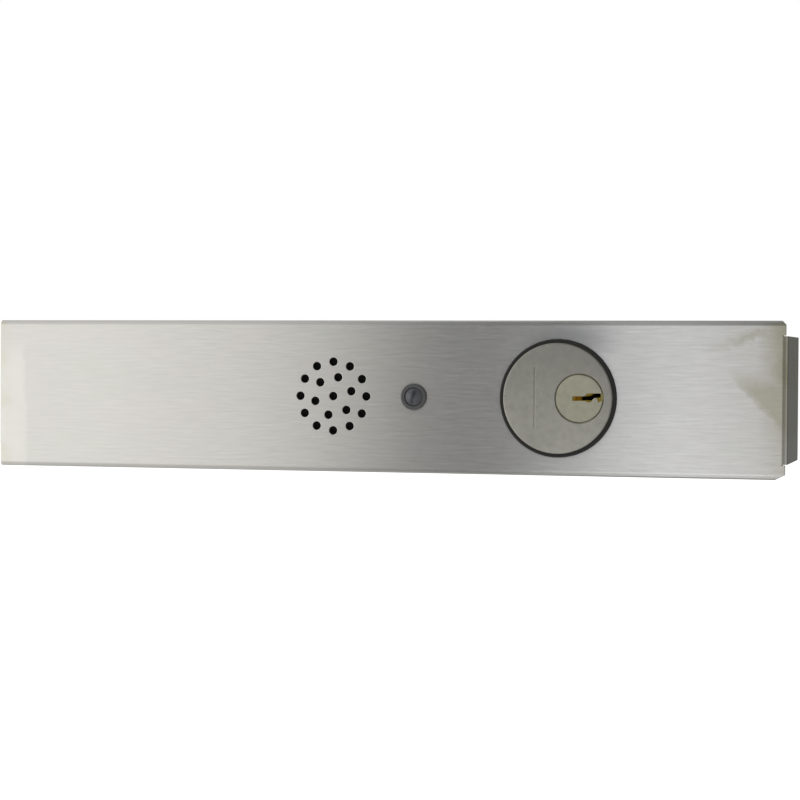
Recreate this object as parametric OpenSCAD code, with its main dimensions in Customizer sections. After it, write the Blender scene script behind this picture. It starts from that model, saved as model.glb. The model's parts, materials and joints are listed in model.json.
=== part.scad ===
// Keyed control station for a door alarm. A folded stainless cover carries a mortise
// key cylinder, an indicator lamp and a sounder grille, and closes over a steel channel
// that screws to the door or wall. Turning the key swings a heart cam between two
// roller switches.
// Millimetres. X runs along the cover, +Z is up and the face looks along -Y.
// The origin is the middle of the four mounting holes, in the plane of the back face.

/* [Cover] */
// Length of the cover
cover_len = 238.5; // [236:0.5:300]
// Height of the cover
cover_h = 44.45; // [44:0.05:60]
// Depth from the door to the front of the cover
cover_depth = 35; // [35:0.5:45]
// Thickness of the cover sheet
cover_t = 1.2; // [0.8:0.1:1.5]
// Outside radius of the long bends
long_bend_r = 1.5; // [1.3:0.1:4]
// Outside radius of the end bend
end_bend_r = 1.5; // [1.3:0.1:4]
// Height of the folded end flange
end_flange_h = 35.8; // [20:0.1:38]
// Gap between the cover edges and the door
cover_lift = 0.3; // [0.1:0.1:1]

/* [Sounder grille] */
// Sounder centre along the cover
sounder_x = -12.7; // [-15:0.1:-8]
// Grille hole diameter
grille_hole_d = 2.5; // [1:0.1:4]
// Radius of the outer ring of holes
outer_ring_r = 10.1; // [6:0.1:12]
// Radius of the inner ring of holes
inner_ring_r = 5.7; // [3:0.1:7]
// Sounder diameter
sounder_d = 30; // [26:0.5:36]

/* [Indicator lamp] */
// Lamp centre along the cover
lamp_x = 11.8; // [11:0.1:18]
// Bezel rim diameter
bezel_d = 7.7; // [7.5:0.1:9]
// Lens diameter
lens_d = 5.4; // [4:0.1:5.5]

/* [Key cylinder] */
// Centre of the cylinder body along the cover
cylinder_x = 54.4; // [54:0.1:62]
// Diameter of the cylinder thread
thread_d = 29.2; // [28:0.1:32]
// Thread pitch
thread_pitch = 0.8; // [0.5:0.05:1.5]
// Diameter of the cylinder face
head_d = 31.8; // [31:0.1:33]
// How far the head stands off the cover
head_proud = 1.2; // [1:0.1:2]
// Outside diameter of the collar around the head
collar_d = 33.8; // [33.6:0.1:36]
// Distance from the body centre to the plug centre
plug_offset = 6.3; // [6:0.1:6.5]
// Diameter of the plug barrel
plug_d = 12.7; // [12:0.1:13]
// Diameter of the plug face
plug_face_d = 13.8; // [13.5:0.1:15]
// Height of the keyway
keyway_h = 8; // [7:0.1:8.2]
// Width of the keyway
keyway_w = 1.3; // [0.8:0.1:1.5]
// Number of pin stacks
pin_count = 6; // [4:1:6]
// Spacing of the pin stacks
pin_pitch = 3.96; // [3:0.01:4]

/* [Cam and switches] */
// Cam radius beside the plug centre
cam_r = 5.2; // [5:0.1:6]
// Cam rise in millimetres for each degree
cam_rise = 0.022; // [0.01:0.001:0.03]
// Roller diameter
roller_d = 4.4; // [3:0.1:5]
// Switch body length
switch_len = 12.8; // [10:0.1:14]
// Switch body height
switch_h = 6.5; // [5:0.1:7]
// Switch body thickness
switch_t = 5.8; // [4:0.1:6]

/* [Mounting] */
// Spacing of the mounting holes along the channel
hole_pitch_x = 214; // [190:1:216]
// Spacing of the mounting holes across the channel
hole_pitch_z = 24; // [16:0.5:28]
// Mounting hole diameter
mount_hole_d = 5.2; // [4:0.1:6]
// Channel sheet thickness
channel_t = 1.5; // [1:0.1:2]
// Channel side height
channel_h = 12; // [10:0.5:14]
// Cable hole diameter in the channel
cable_hole_d = 12.7; // [10:0.1:14]
// Clear opening through the grommet
grommet_bore_d = 8; // [5:0.5:9]
// Cable hole centre along the channel
cable_x = -100; // [-102:0.5:-98]

/* [Circuit board] */
// Left edge of the board
board_left = -86; // [-88:0.5:-84]
// Right edge of the board
board_right = 30; // [26:0.5:32]
// Board height
board_h = 35; // [30:0.5:36]
// Board thickness
board_t = 1.6; // [0.8:0.1:2]

/* [Hidden] */
$fn = 64;
eps = 0.01;
fit = 0.05;

// Cover
half_l = cover_len / 2;
half_h = cover_h / 2;
z_face = cover_depth;
z_inner = cover_depth - cover_t;
corner_back = 0.6;
side_setback = 4.2;
relief_gap = 0.2;
flange_lift = 2;
top_clip = [1.1, 1.1];
low_clip = [2.8, 1.4];
outer_holes = 12;
inner_holes = 6;
inner_turn = 15;
screw_x = 98;
screw_z = 7;
screw_d = 3;
screw_head_d = 5.4;
screw_l = 5;
pan_r = 2.7;
pan_h = 1.6;
recess_w = 1.4;
recess_depth = 0.9;

// Channel
channel_w = cover_h - 2 * cover_t - 0.45;
channel_bend_r = 2.2;
channel_left = -half_l + 1.5;
channel_right = half_l - 4.4;
wall_w = 35;
wall_top = z_inner - 0.5;
nut_d = 5.8;
nut_t = 2;

// Cylinder
collar_t = 0.4;
collar_ease = 0.2;
collar_drop = 0.4;
cyl_hole_d = thread_d + 0.2;
z_seat = z_face + collar_t;
z_head = z_face + head_proud;
z_collar = z_head - collar_drop;
barrel_l = 25.4;
z_rear = z_seat - barrel_l;
z_disc = z_rear - 0.2;
plug_x = cylinder_x + plug_offset;
plug_bore_d = plug_d + 2 * fit;
plug_rim_t = 1.6;
chamber_r = 1.45;
pin_r = chamber_r - fit;
first_pin = 4.35;
shear = plug_d / 2;
cap_out = 16.9;
cap_t = 1.6;
cap_w = 3.8;
z_cap = z_seat - 1.6;
keyway_low = -1.9;
keyway_belly = 0.35;
keyway_mid = 0.85;
keyway_end = -0.3;
keyway_floor = 0.4;
notch_low = -0.7;
notch_high = 1.5;
notch_depth = 0.8;
head_edge_r = 0.4;
plug_ease = 0.25;
thread_h = 0.45;
mark_x = -6.6;
mark_w = 0.4;
mark_half_l = 8.7;
mark_depth = 0.15;
pin_tip_high = 1.9;
pin_step = 0.42;
pin_point_h = 0.8;
pin_point_r = 0.6;
driver_low = shear + 0.1;
driver_high = shear + 4.4;
driver_tip_h = 0.8;
nut_ring_d = 36;
nut_ring_t = 3;
nut_slot_depth = 1.6;
nut_slot_w = 3;

// Cam and switches, in a frame centred on the plug
cam_low = 4.6;
cam_high = 7;
z_mid = (cam_low + cam_high) / 2;
plate_top = 2.9;
retain_d = 15;
retain_t = 1.1;
neck_r = 3.1;
cam_screw_y = 3;
cam_screw_r = 0.85;
cam_screw_head_r = 1.65;
cam_screw_grip = 3;
plate_left = -31;
plate_right = 19;
plate_half_w = 18.4;
plate_hole_r = 6;
plate_screw_v = [-28, 16];
pivot_v = -15.6;
pivot_u = 9;
roller_v = 0.9;
roller_u = cam_r + roller_d / 2 + 0.22;
roller_w = 2.3;
axle_r = 0.5;
hinge_r = 0.4;
case_left = -16.3;
case_in = 9.6;
plunger_v = -10.6;
plunger_r = 0.7;
plunger_gap = 0.08;
lever_t = 0.3;
lever_w = 3.5;
lever_end = -2.7;
lever_slope = atan2(roller_u - pivot_u + 0.2, roller_v - pivot_v);
terminal_l = 2.2;
terminal_pitch = 4.6;
switch_screw_v = [-13.2, -6.7];
switch_screw_u = 14.3;
switch_screw_r = 0.95;
switch_screw_head_r = 1.75;
seam_low = 4.4;
seam_t = 0.2;

// Board
board_z = 12;
board_top = board_z + board_t;
standoff_x = [-66, 25.5];
standoff_y = 14;
standoff_r = 2.75;
standoff_foot_r = 2;
relay_low = [-58, -7.7];
relay_high = [-39, 7.7];
relay_h = 15.5;
relay_inset = 2;
block_low_x = board_left + 0.8;
block_high_x = board_left + 9.2;
block_h = 10;
large_cap_at = [[-33, 10.5, 0], [-33, -10, 0]];
large_cap = [4, 12];
small_cap_at = [12, 13, 0];
small_cap = [3.15, 8];
driver_chip_at = [[-66, 4, 0], [-66, -5, 0]];
driver_chip_l = 9.9;
timer_chip_at = [11, 5, 0];
timer_chip_l = 5;
leg_pitch = 1.27;
leg_out = 3;
chip_half_w = 1.95;
chip_gap = 0.15;
chip_top = 1.65;
lamp_low = 26;
bezel_proud = 0.7;
bezel_ease = 0.3;
bezel_body_r = bezel_d / 2 - 0.6;
lamp_nut_r = 5;
lead_gap = 1.27;
header_top = board_top + 9;
header_x = 23.5;
header_y = 6.2;
lamp_header_x = 12.5;
lamp_header_y = -13.2;
wire_rise = 9;
led_wire_r = 0.5;
switch_wire_r = 0.55;
pole = 5.08;
pole_count = 6;

steel = [0.76, 0.75, 0.73];
nickel = [0.62, 0.61, 0.57];
brass = [0.78, 0.64, 0.34];
zinc = [0.66, 0.68, 0.70];
black = [0.09, 0.09, 0.09];
white = [0.9, 0.9, 0.86];

// Which sub-part to draw

// Local frame: x along the cover, y up the face, z out from the door.
module upright() {
    rotate([90, 0, 0]) children();
}

// Cylinder between two heights
module disc(r, low, high) {
    translate([0, 0, low]) cylinder(r = r, h = high - low);
}

// Ring between two heights
module ring(r_out, r_in, low, high) {
    difference() {
        disc(r_out, low, high);
        disc(r_in, low - eps, high + eps);
    }
}

// Box from its low corner to its high corner
module span(low, high) {
    translate(low) cube(high - low);
}

// Quarter-round sheet bend along +z, in the +x +y quadrant
module bend(r, t, len) {
    intersection() {
        difference() {
            cylinder(r = r, h = len);
            translate([0, 0, -eps]) cylinder(r = r - t, h = len + 2 * eps);
        }
        cube([r, r, len]);
    }
}

// Long bend lying along x, turning from +y to +z
module long_bend(r, t, low, high) {
    translate([low, 0, 0]) rotate([90, 0, 90]) bend(r, t, high - low);
}

// Countersunk screw with its widest face at z = 0, pointing down
module flat_head(r_head, r_shank, len) {
    rise = r_head - r_shank;
    translate([0, 0, -rise]) cylinder(r1 = r_shank, r2 = r_head, h = rise);
    translate([0, 0, -len]) cylinder(r = r_shank, h = len);
}

// Cross recess for a screw head whose top is at z = 0
module cross_recess(w, depth) {
    span([-w, -w / 5, -depth], [w, w / 5, eps]);
    span([-w / 5, -w, -depth], [w / 5, w, eps]);
}

// ---- Cover ----

// Long side, which stops short of the end flange below its bend
module cover_side() {
    span([-half_l, half_h - cover_t, cover_lift],
        [half_l - side_setback, half_h, z_face - long_bend_r]);
    translate([0, half_h - long_bend_r, z_face - long_bend_r])
        long_bend(long_bend_r, cover_t, -half_l, half_l - corner_back);
}

module cover_shell() {
    side = half_h - long_bend_r;
    tab = end_flange_h / 2;
    span([-half_l, -side, z_inner], [half_l - end_bend_r, side, z_face]);
    for (s = [0, 1]) {
        mirror([0, s, 0]) {
            cover_side();
            span([half_l - end_bend_r - eps, tab + relief_gap, z_inner],
                [half_l - corner_back, side, z_face]);
        }
    }
    translate([half_l - end_bend_r, tab, z_face - end_bend_r])
        rotate([90, 0, 0]) bend(end_bend_r, cover_t, end_flange_h);
    span([half_l - cover_t, -tab, flange_lift], [half_l, tab, z_face - end_bend_r]);
}

module grille_holes() {
    translate([sounder_x, 0, z_inner - 1]) {
        cylinder(d = grille_hole_d, h = cover_t + 2);
        for (i = [0:outer_holes - 1]) {
            rotate([0, 0, i * 360 / outer_holes]) translate([outer_ring_r, 0, 0])
                cylinder(d = grille_hole_d, h = cover_t + 2);
        }
        for (i = [0:inner_holes - 1]) {
            rotate([0, 0, inner_turn + i * 360 / inner_holes])
                translate([inner_ring_r, 0, 0])
                cylinder(d = grille_hole_d, h = cover_t + 2);
        }
    }
}

// One countersunk screw at each end of each cover side
module at_cover_screws() {
    for (x = [-screw_x, screw_x]) {
        for (s = [0, 1]) {
            mirror([0, s, 0]) translate([x, half_h, screw_z]) rotate([-90, 0, 0])
                children();
        }
    }
}

// Corner cut across the right end of one long edge of the face
module corner_clip(size) {
    translate([half_l - corner_back, -half_h, z_inner - long_bend_r])
        linear_extrude(cover_t + long_bend_r + 1)
        polygon([[-size.x, -1], [-size.x, 0], [0, size.y], [1, size.y], [1, -1]]);
}

module front_cover() {
    color(steel) upright() difference() {
        cover_shell();
        grille_holes();
        translate([lamp_x, 0, 0]) disc(bezel_body_r + fit, z_inner - 1, z_face + 1);
        translate([cylinder_x, 0, 0]) disc(cyl_hole_d / 2, z_inner - 1, z_face + 1);
        at_cover_screws() flat_head(screw_head_d / 2 + fit, screw_d / 2 + fit, screw_l);
        corner_clip(low_clip);
        mirror([0, 1, 0]) corner_clip(top_clip);
    }
}

module cover_screws() {
    color(nickel) upright() at_cover_screws() difference() {
        flat_head(screw_head_d / 2, screw_d / 2, screw_l);
        cross_recess(1.2, 0.7);
    }
}

// ---- Channel ----

module channel_shell() {
    side = channel_w / 2;
    flat = side - channel_bend_r;
    span([channel_left + channel_bend_r, -flat, 0], [channel_right, flat, channel_t]);
    for (s = [0, 1]) {
        mirror([0, s, 0]) {
            span([channel_left + channel_bend_r, side - channel_t, channel_bend_r],
                [channel_right, side, channel_h]);
            translate([0, flat, channel_bend_r]) mirror([0, 0, 1])
                long_bend(channel_bend_r, channel_t, channel_left + channel_bend_r,
                    channel_right);
        }
    }
    translate([channel_left + channel_bend_r, wall_w / 2, channel_bend_r])
        mirror([1, 0, 0]) mirror([0, 0, 1]) rotate([90, 0, 0])
        bend(channel_bend_r, channel_t, wall_w);
    span([channel_left, -wall_w / 2, channel_bend_r],
        [channel_left + channel_t, wall_w / 2, wall_top]);
}

module at_standoffs() {
    for (x = standoff_x) {
        for (y = [-standoff_y, standoff_y]) {
            translate([x, y, 0]) children();
        }
    }
}

module at_plate_screws() {
    for (v = plate_screw_v) {
        translate([plug_x + v, 0, 0]) children();
    }
}

module base_channel() {
    color(zinc) upright() difference() {
        channel_shell();
        for (x = [-hole_pitch_x / 2, hole_pitch_x / 2]) {
            for (y = [-hole_pitch_z / 2, hole_pitch_z / 2]) {
                translate([x, y, 0]) disc(mount_hole_d / 2, -1, channel_t + 1);
            }
        }
        translate([cable_x, 0, 0]) disc(cable_hole_d / 2, -1, channel_t + 1);
        at_standoffs() disc(standoff_foot_r, -1, channel_t + 1);
        at_plate_screws() disc(screw_d / 2 + fit, -1, channel_t + 1);
        at_cover_screws() disc(screw_d / 2 + fit, -6, 0);
    }
}

module clinch_nuts() {
    low = channel_w / 2 - channel_t - half_h;
    color(nickel) upright() at_cover_screws()
        ring(nut_d / 2, screw_d / 2 + fit, low - nut_t, low);
}

module cable_grommet() {
    r_hole = cable_hole_d / 2;
    r_rim = r_hole + 1.5;
    top = channel_t + 1.8;
    color(black) upright() translate([cable_x, 0, 0]) difference() {
        union() {
            disc(r_hole, 0, top);
            disc(r_rim, channel_t, top);
        }
        disc(grommet_bore_d / 2, -1, channel_t + 4);
    }
}

// ---- Key cylinder ----

// Cup around the head, clamped between its underside and the cover
module cylinder_collar() {
    r = collar_d / 2;
    ease = z_collar - collar_ease;
    color(black) upright() translate([cylinder_x, 0, 0]) difference() {
        union() {
            disc(r, z_face, ease);
            translate([0, 0, ease])
                cylinder(r1 = r, r2 = r - collar_ease, h = collar_ease);
        }
        disc(cyl_hole_d / 2, z_face - 1, z_seat + 1);
        disc(head_d / 2 + fit, z_seat, z_head);
    }
}

// Threaded barrel with ring grooves at the thread pitch
module thread_barrel() {
    r_out = thread_d / 2;
    r_in = r_out - thread_h;
    turns = floor((z_seat - z_rear - 2) / thread_pitch);
    top = z_seat - 1;
    rotate_extrude() polygon(concat(
        [[0, z_rear], [r_in, z_rear]],
        [for (i = [0:turns - 1])
            for (k = [0, 1])
                [k == 0 ? r_in : r_out, top - (turns - i - k / 2) * thread_pitch]],
        [[r_in, top], [r_in, z_seat], [0, z_seat]]));
}

module cylinder_head() {
    r_face = head_d / 2 - head_edge_r;
    ease = z_head - head_edge_r;
    disc(r_face, z_seat, z_head);
    disc(head_d / 2, z_seat, ease);
    translate([0, 0, ease]) rotate_extrude() translate([r_face, 0])
        circle(r = head_edge_r, $fn = 32);
}

// Children repeated at every pin stack, with +z pointing out along the stack
module at_pins() {
    for (i = [0:pin_count - 1]) {
        translate([plug_x, 0, z_head - first_pin - i * pin_pitch]) rotate([0, -90, 0])
            children();
    }
}

module cylinder_body() {
    color(nickel) upright() difference() {
        translate([cylinder_x, 0, 0]) {
            thread_barrel();
            cylinder_head();
        }
        translate([plug_x, 0, 0]) {
            disc(plug_bore_d / 2, z_rear - 1, z_head + 1);
            disc(plug_face_d / 2 + fit, z_head - plug_rim_t - fit, z_head + 1);
            translate([0, 0, z_head - plug_ease])
                cylinder(r1 = plug_face_d / 2 + fit, r2 = plug_face_d / 2 + fit + plug_ease,
                    h = plug_ease + eps);
        }
        at_pins() disc(chamber_r, 0, cap_out);
        span([cylinder_x - thread_d, -cap_w / 2, z_rear - 1],
            [plug_x - cap_out, cap_w / 2, z_cap]);
        span([cylinder_x + mark_x - mark_w / 2, -mark_half_l, z_head - mark_depth],
            [cylinder_x + mark_x + mark_w / 2, mark_half_l, z_head + 1]);
    }
}

module chamber_cap() {
    color(brass) upright() intersection() {
        span([plug_x - cap_out - cap_t, -cap_w / 2, z_rear],
            [plug_x - cap_out, cap_w / 2, z_cap]);
        translate([cylinder_x, 0, 0]) disc(thread_d / 2 - thread_h, 0, z_face);
    }
}

// Warded keyway outline: a level start, a belly and a step up past the middle, then a
// drop at the end
module keyway_outline() {
    a = keyway_w / 2;
    low = keyway_low;
    high = keyway_low + keyway_h;
    top = keyway_mid + a;
    under = keyway_mid - a;
    belly = -a - keyway_belly;
    polygon([[low, -a], [low + 3.6, -a], [low + 4.4, belly], [low + 5.2, belly],
        [low + 6.2, under], [high - 0.9, under], [high - 0.6, keyway_end - a],
        [high, keyway_end - a], [high, top], [low + 4.4, top], [low + 3.4, a], [low, a]]);
}

module cylinder_plug() {
    color(brass) upright() difference() {
        translate([plug_x, 0, 0]) {
            disc(plug_d / 2, z_disc, z_head);
            disc(plug_face_d / 2, z_head - plug_rim_t, z_head - plug_ease);
            translate([0, 0, z_head - plug_ease])
                cylinder(r1 = plug_face_d / 2, r2 = plug_face_d / 2 - plug_ease, h = plug_ease);
        }
        translate([plug_x, 0, z_rear + keyway_floor]) linear_extrude(barrel_l + 5)
            keyway_outline();
        span([plug_x + keyway_low + keyway_h - eps, notch_low, z_head - notch_depth],
            [plug_x + plug_face_d, notch_high, z_head + 1]);
        at_pins() disc(chamber_r, -0.6, plug_d);
        at_cam_screws() disc(cam_screw_r + fit, 0, z_disc + cam_screw_grip + 0.6);
    }
}

module key_pins() {
    color(brass) upright() for (i = [0:pin_count - 1]) {
        tip = pin_tip_high - pin_step * ((2 * i + 1) % 5);
        translate([plug_x, 0, z_head - first_pin - i * pin_pitch]) rotate([0, -90, 0]) {
            disc(pin_r, tip + pin_point_h, shear - 0.16);
            translate([0, 0, tip])
                cylinder(r1 = pin_point_r, r2 = pin_r, h = pin_point_h);
        }
    }
}

module driver_pins() {
    color(nickel) upright() at_pins() {
        disc(pin_r, driver_low, driver_high);
        disc(pin_r - 0.6, driver_high, driver_high + driver_tip_h);
    }
}

// Round tube along a path, with the given direction used to square its rings
module tube(path, tangents, r, up, sides) {
    last = len(path) - 1;
    points = [for (i = [0:last])
        let (n = unit(cross(tangents[i], up)), m = cross(tangents[i], n))
            for (j = [0:sides - 1])
                path[i] + r * (cos(360 * j / sides) * n + sin(360 * j / sides) * m)];
    sides_a = [for (i = [0:last - 1]) for (j = [0:sides - 1])
        [i * sides + j, (i + 1) * sides + j, (i + 1) * sides + (j + 1) % sides]];
    sides_b = [for (i = [0:last - 1]) for (j = [0:sides - 1])
        [i * sides + j, (i + 1) * sides + (j + 1) % sides, i * sides + (j + 1) % sides]];
    caps = [[for (j = [0:sides - 1]) j],
        [for (j = [sides - 1:-1:0]) last * sides + j]];
    polyhedron(points = points, faces = concat(sides_a, sides_b, caps), convexity = 8);
}

function unit(v) = v / norm(v);

module pin_springs() {
    turns = 5;
    steps = turns * 10;
    low = driver_high + driver_tip_h + 0.15;
    high = cap_out - 0.15;
    wire_r = 0.14;
    coil_r = pin_r - wire_r - 0.05;
    path = [for (i = [0:steps])
        [coil_r * cos(36 * i), coil_r * sin(36 * i), low + (high - low) * i / steps]];
    tangents = [for (i = [0:steps])
        unit([-sin(36 * i), cos(36 * i), (high - low) / (turns * 2 * PI * coil_r)])];
    color(steel) upright() at_pins() tube(path, tangents, wire_r, [0, 0, 1], 5);
}

module ring_nut() {
    color(zinc) upright() translate([cylinder_x, 0, 0]) difference() {
        ring(nut_ring_d / 2, thread_d / 2 + fit, z_inner - nut_ring_t, z_inner);
        for (a = [0:60:300]) {
            rotate([0, 0, a])
                span([nut_ring_d / 2 - nut_slot_depth, -nut_slot_w / 2, z_inner - nut_ring_t - 1],
                    [nut_ring_d / 2 + 1, nut_slot_w / 2, z_inner + 1]);
        }
    }
}

// ---- Cam and switches ----

module at_cam_screws() {
    for (y = [-cam_screw_y, cam_screw_y]) {
        translate([plug_x, y, 0]) children();
    }
}

// Heart outline, highest towards +x and falling evenly to the far side
module cam_outline() {
    polygon([for (a = [0:1.5:358.5])
        let (off = min(a, 360 - a), r = cam_r + cam_rise * (90 - off))
            [r * cos(a), r * sin(a)]]);
}

module cylinder_cam() {
    color(zinc) upright() difference() {
        translate([plug_x, 0, 0]) {
            translate([0, 0, cam_low]) linear_extrude(cam_high - cam_low) cam_outline();
            disc(neck_r, cam_high - eps, z_disc - retain_t);
            disc(retain_d / 2, z_disc - retain_t, z_disc);
        }
        at_cam_screws() {
            disc(cam_screw_r + fit, cam_low - 1, z_disc + 1);
            translate([0, 0, cam_low - eps])
                cylinder(r1 = cam_screw_head_r + fit, r2 = cam_screw_r + fit,
                    h = cam_screw_head_r - cam_screw_r + eps);
        }
    }
}

module cam_screws() {
    color(steel) upright() at_cam_screws() translate([0, 0, cam_low])
        mirror([0, 0, 1]) difference() {
            flat_head(cam_screw_head_r, cam_screw_r, z_disc - cam_low + cam_screw_grip);
            cross_recess(0.9, 0.4);
        }
}

module switch_plate() {
    color(zinc) upright() difference() {
        span([plug_x + plate_left, -plate_half_w, channel_t],
            [plug_x + plate_right, plate_half_w, plate_top]);
        at_plate_screws() disc(screw_d / 2 + fit, 0, plate_top + 1);
        at_switch_screws() disc(switch_screw_r + fit, 0, plate_top + 1);
        translate([plug_x, 0, 0]) disc(plate_hole_r, 0, plate_top + 1);
    }
}

module plate_screws() {
    color(nickel) upright() at_plate_screws() difference() {
        union() {
            disc(screw_d / 2, 0.2, plate_top);
            disc(pan_r, plate_top, plate_top + pan_h);
        }
        translate([0, 0, plate_top + pan_h]) cross_recess(recess_w, recess_depth);
    }
}

module at_switch_screws() {
    for (s = [0, 1]) {
        for (v = switch_screw_v) {
            mirror([0, s, 0]) translate([plug_x + v, switch_screw_u, 0]) children();
        }
    }
}

module switch_case() {
    high = plate_top + switch_t;
    ear = (switch_t - lever_w - 0.3) / 2;
    case_right = case_left + switch_len;
    translate([plug_x, 0, 0]) difference() {
        union() {
            span([case_left, case_in, plate_top],
                [case_right, case_in + switch_h, high]);
            for (low = [plate_top, high - ear]) {
                span([case_left, pivot_u - 0.7, low],
                    [case_left + 1.4, case_in + eps, low + ear]);
            }
        }
        translate([pivot_v, pivot_u, 0])
            disc(hinge_r + fit, plate_top + 0.3, high - 0.3);
        translate([plunger_v, case_in - 1, z_mid]) rotate([-90, 0, 0])
            cylinder(r = plunger_r + fit, h = 5);
        for (v = switch_screw_v) {
            translate([v, switch_screw_u, 0]) disc(switch_screw_r + fit, 0, high + 1);
        }
        span([case_left - 1, case_in + switch_h - 0.5, plate_top + seam_low],
            [case_right + 1, case_in + switch_h + 1, plate_top + seam_low + seam_t]);
    }
}

module upper_switch_case() {
    color(black) upright() switch_case();
}

module lower_switch_case() {
    color(black) upright() mirror([0, 1, 0]) switch_case();
}

module switch_terminals() {
    out = case_in + switch_h;
    color(nickel) upright() for (s = [0, 1]) {
        for (k = [0:2]) {
            mirror([0, s, 0]) translate([terminal_v(k), 0, 0])
                span([-0.8, out, z_mid - 0.25], [0.8, out + terminal_l, z_mid + 0.25]);
        }
    }
}

function terminal_v(k) = plug_x + case_left + switch_len / 2 + (k - 1) * terminal_pitch;

module switch_screws() {
    top = plate_top + switch_t;
    color(nickel) upright() at_switch_screws() difference() {
        union() {
            disc(switch_screw_r, channel_t + 0.1, top);
            disc(switch_screw_head_r, top, top + 1.2);
        }
        translate([0, 0, top + 1.2]) span([-2, -0.2, -0.6], [2, 0.2, 1]);
    }
}

// Spring leaf from the hinge pin to a fork that carries the roller axle
module lever() {
    low = z_mid - lever_w / 2;
    high = z_mid + lever_w / 2;
    fork_t = 0.4;
    run_v = roller_v - pivot_v;
    run_u = roller_u - pivot_u;
    run = norm([run_v, run_u]);
    translate([plug_x + pivot_v, pivot_u, 0]) {
        disc(hinge_r, plate_top + 0.4, plate_top + switch_t - 0.4);
        rotate([0, 0, lever_slope])
            span([0, -lever_t / 2, low], [lever_end - pivot_v, lever_t / 2, high]);
        for (z = [low, high - fork_t]) {
            rotate([0, 0, atan2(run_u, run_v)]) {
                span([run - 4.1, -0.7, z], [run, 0.9, z + fork_t]);
                translate([run, 0, 0]) disc(1.1, z, z + fork_t);
            }
        }
        translate([run_v, run_u, 0]) disc(axle_r, low, high);
    }
}

module upper_lever() {
    color(steel) upright() lever();
}

module lower_lever() {
    color(steel) upright() mirror([0, 1, 0]) lever();
}

module roller() {
    translate([plug_x + roller_v, roller_u, 0])
        ring(roller_d / 2, axle_r + fit, z_mid - roller_w / 2, z_mid + roller_w / 2);
}

module upper_roller() {
    color(white) upright() roller();
}

module lower_roller() {
    color(white) upright() mirror([0, 1, 0]) roller();
}

module plunger() {
    lean = (plunger_v - pivot_v) * tan(lever_slope);
    tip = pivot_u + lean + lever_t / 2 + plunger_gap;
    translate([plug_x + plunger_v, 0, z_mid]) rotate([-90, 0, 0]) {
        disc(plunger_r, tip + 0.3, case_in + 2.6);
        translate([0, 0, tip]) cylinder(r1 = 0.4, r2 = plunger_r, h = 0.3);
    }
}

module upper_plunger() {
    color([0.65, 0.15, 0.12]) upright() plunger();
}

module lower_plunger() {
    color([0.65, 0.15, 0.12]) upright() mirror([0, 1, 0]) plunger();
}

// ---- Sounder ----

module sounder_case() {
    r = sounder_d / 2;
    top = z_inner - 1.2;
    color([0.12, 0.12, 0.13]) upright() translate([sounder_x, 0, 0]) difference() {
        disc(r, board_top, top);
        disc(r - 2.5, board_top + 1.5, top + 1);
        disc(r - 1.5, top - 6, top + 1);
    }
}

module sounder_disc() {
    top = z_inner - 7.2;
    color(brass) upright() translate([sounder_x, 0, 0]) {
        disc(sounder_d / 2 - 1.6, top, top + 0.3);
        disc(sounder_d / 2 - 5, top + 0.3, top + 0.5);
    }
}

module sounder_gasket() {
    color([0.2, 0.2, 0.2]) upright() translate([sounder_x, 0, 0])
        ring(sounder_d / 2, sounder_d / 2 - 2.4, z_inner - 1.2, z_inner - 0.3);
}

module dust_screen() {
    color([0.05, 0.05, 0.05]) upright() translate([sounder_x, 0, 0])
        disc(sounder_d / 2 - 0.4, z_inner - 0.3, z_inner);
}

// ---- Indicator lamp ----

module led_bezel() {
    r_rim = bezel_d / 2;
    ease = z_face + bezel_proud - bezel_ease;
    color(black) upright() translate([lamp_x, 0, 0]) difference() {
        union() {
            disc(r_rim, z_face, ease);
            translate([0, 0, ease])
                cylinder(r1 = r_rim, r2 = r_rim - bezel_ease, h = bezel_ease);
            disc(bezel_body_r, lamp_low + 1, z_face);
        }
        disc(lens_d / 2 + fit, 0, z_face + 2);
    }
}

module led_lens() {
    r = lens_d / 2;
    shoulder = z_face + bezel_proud - 0.3;
    dome = 0.9;
    ball = (r * r + dome * dome) / (2 * dome);
    color([0.62, 0.68, 0.74]) upright() translate([lamp_x, 0, 0]) {
        disc(r, lamp_low, shoulder);
        intersection() {
            disc(r, shoulder - 0.5, shoulder + dome + 0.5);
            translate([0, 0, shoulder + dome - ball]) sphere(r = ball);
        }
    }
}

module led_ring() {
    color(nickel) upright() translate([lamp_x, 0, 0])
        ring(lamp_nut_r, bezel_body_r + fit, z_inner - 1.8, z_inner);
}

function bezier(p, t) = pow(1 - t, 3) * p[0] + 3 * t * pow(1 - t, 2) * p[1]
    + 3 * t * t * (1 - t) * p[2] + pow(t, 3) * p[3];

function bezier_dir(p, t) = unit(pow(1 - t, 2) * (p[1] - p[0])
    + 2 * t * (1 - t) * (p[2] - p[1]) + t * t * (p[3] - p[2]));

// Insulated wire along one smooth curve
module wire(p, r, up) {
    steps = 16;
    tube([for (i = [0:steps]) bezier(p, i / steps)],
        [for (i = [0:steps]) bezier_dir(p, i / steps)], r, up, 8);
}

module led_wires() {
    for (s = [-1, 1]) {
        x_top = lamp_x + s * lead_gap;
        x_end = lamp_header_x + s * lead_gap;
        color(s > 0 ? [0.7, 0.12, 0.1] : black) upright()
            wire([[x_top, 0, lamp_low], [x_top, 0, lamp_low - 8],
                [x_end, lamp_header_y, header_top + wire_rise],
                [x_end, lamp_header_y, header_top]], led_wire_r, [1, 0, 0]);
    }
}

// ---- Circuit board ----

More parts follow.
